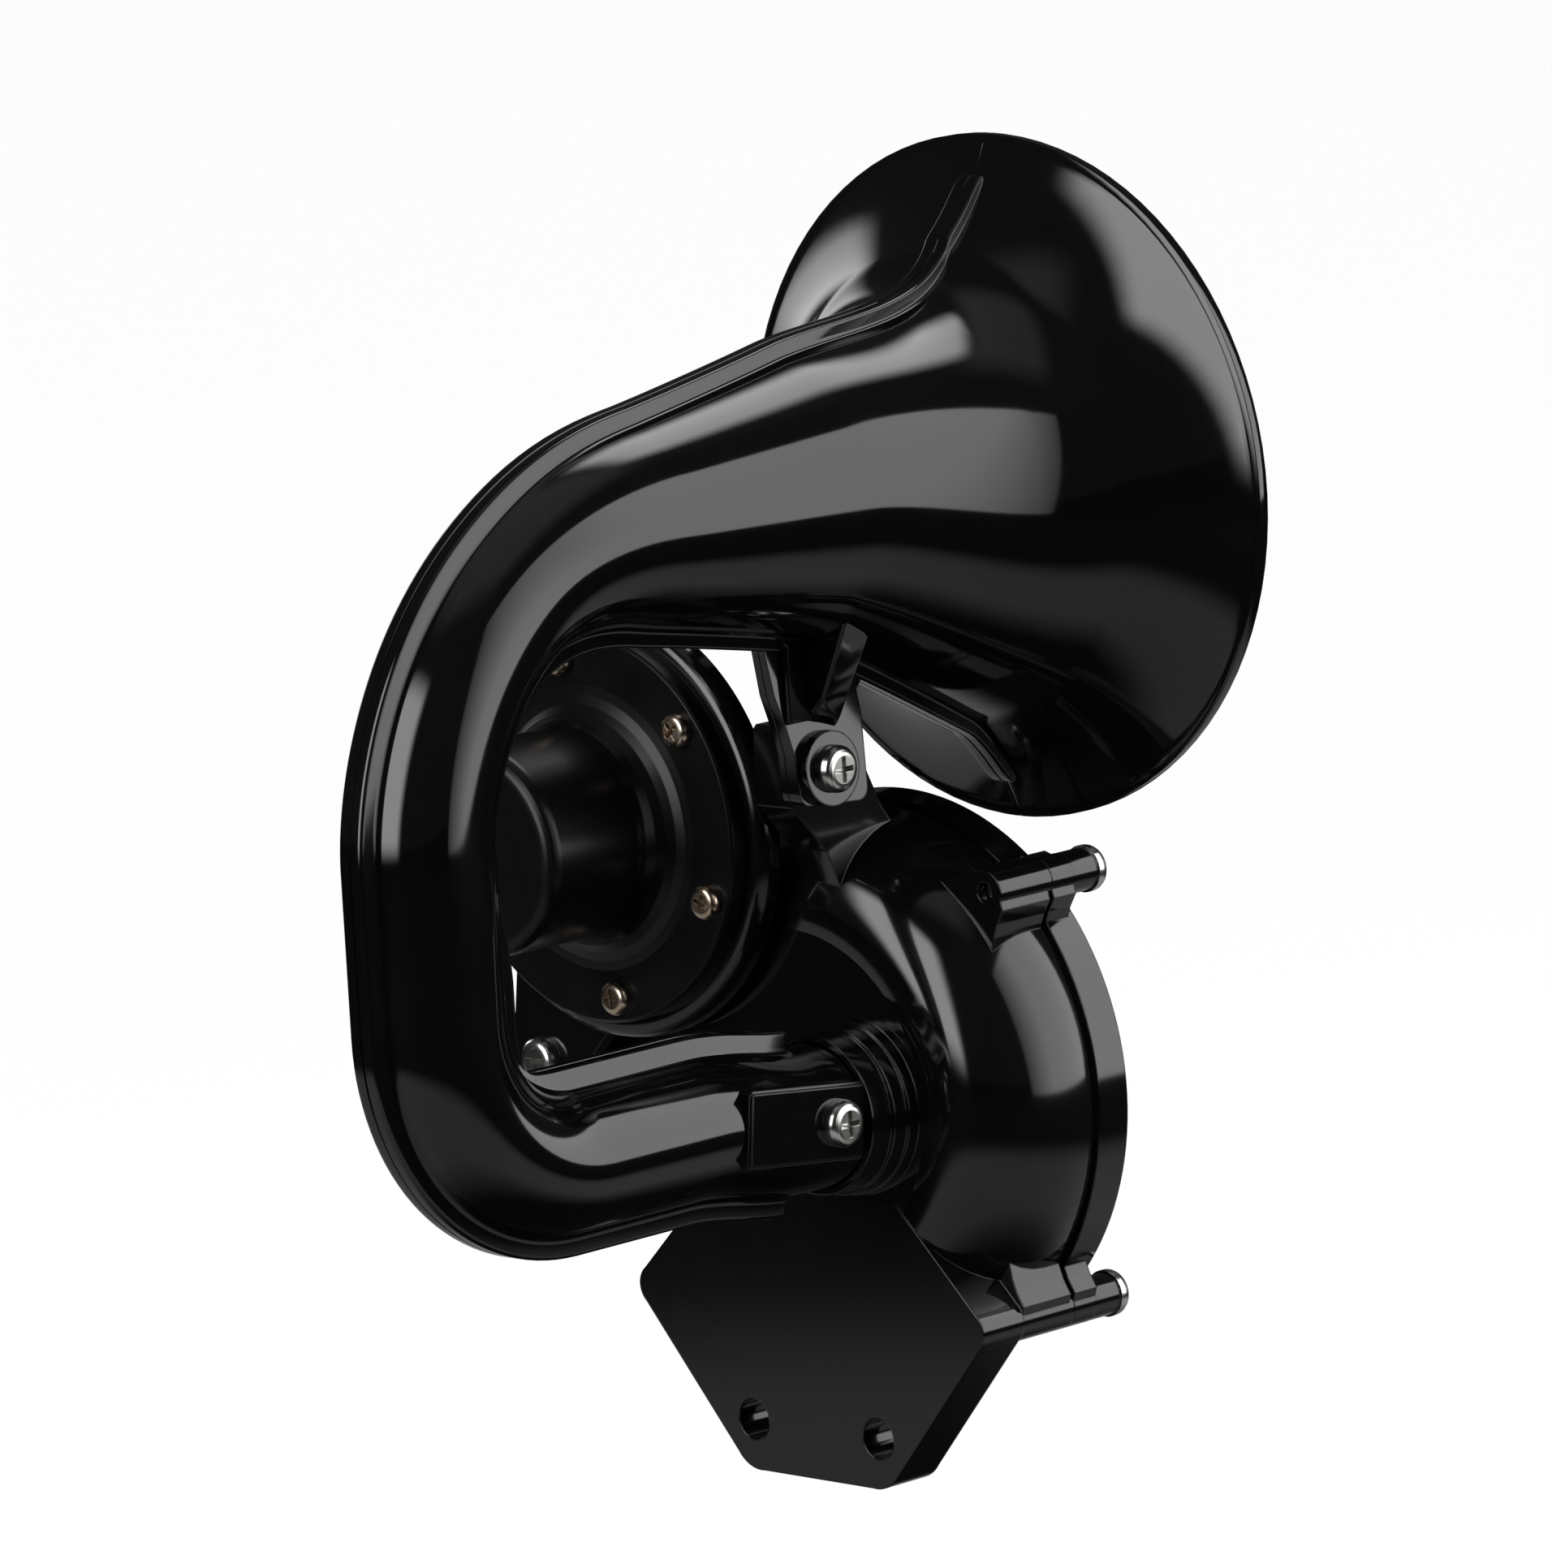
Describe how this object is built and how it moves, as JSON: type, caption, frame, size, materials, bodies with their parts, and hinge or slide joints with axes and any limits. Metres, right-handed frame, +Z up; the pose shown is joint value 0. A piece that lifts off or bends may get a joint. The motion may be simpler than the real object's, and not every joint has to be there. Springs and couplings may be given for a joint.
{
  "type": "car air horn",
  "caption": "Compact electric air horn for a car: motor-driven pump, round diaphragm sound head and a C-shaped trumpet, held by a plate with two screw holes.",
  "frame": {"origin": "midpoint between the two mounting holes on the back face of the mounting plate", "axes": "+Z up, the bell faces -Y, the plate's back face looks along +Y, and -X is the horn's own right, the trumpet's side"},
  "size_m": [0.1432, 0.1583, 0.2235],
  "materials": {
    "gloss_black": "high-gloss black moulding",
    "trumpet_black": "high-gloss black moulding",
    "cover_black": "satin black moulding",
    "zinc_steel": "bright zinc plated",
    "spring_steel": "rolled spring steel",
    "can_steel": "drawn and plated steel",
    "shaft_steel": "ground steel",
    "core_steel": "stacked electrical steel",
    "pump_alloy": "machined aluminium",
    "brass": "turned or pressed brass",
    "copper": null,
    "bronze": "oil-filled sintered bronze",
    "seal_rubber": "matt black rubber",
    "carbon": "matt pressed carbon",
    "ferrite": "matt grey ferrite",
    "inner_plastic": "natural nylon",
    "socket_plastic": "matt black insert",
    "foam": "open-cell foam"
  },
  "bodies": {
    "housing": {"head_body": "gloss_black", "head_cover": "gloss_black", "cover_gasket": "seal_rubber", "diaphragm": "spring_steel", "diaphragm_boss": "brass", "clamp_screws": "zinc_steel", "trumpet_right_half": "trumpet_black", "trumpet_left_half": "trumpet_black", "socket_screw": "zinc_steel", "socket_o_ring": "seal_rubber", "stay_screw": "zinc_steel", "stay_nut": "zinc_steel", "pump_base": "gloss_black", "base_screws": "zinc_steel", "air_port_o_ring": "seal_rubber", "pump_seal": "seal_rubber", "cam_ring": "pump_alloy", "port_plate": "pump_alloy", "motor_cover": "cover_black", "cover_screws": "zinc_steel", "motor_screws": "zinc_steel", "motor_can": "can_steel", "motor_magnets": "ferrite", "brush_carrier": "inner_plastic", "motor_brushes": "carbon", "front_bush": "bronze", "rear_bush": "bronze", "terminal_block": "socket_plastic", "terminals": "brass", "intake_filter": "foam"},
    "rotor": {"pump_rotor": "pump_alloy", "pump_vanes": "carbon", "motor_shaft": "shaft_steel", "armature_core": "core_steel", "armature_windings": "copper", "commutator": "copper"}
  },
  "joints": [
    {"name": "motor_spin", "type": "hinge", "parent": "housing", "child": "rotor", "pos_m": [0.0355, 0.02, 0.1018], "axis": [0, 1, 0], "continuous": true}
  ]
}
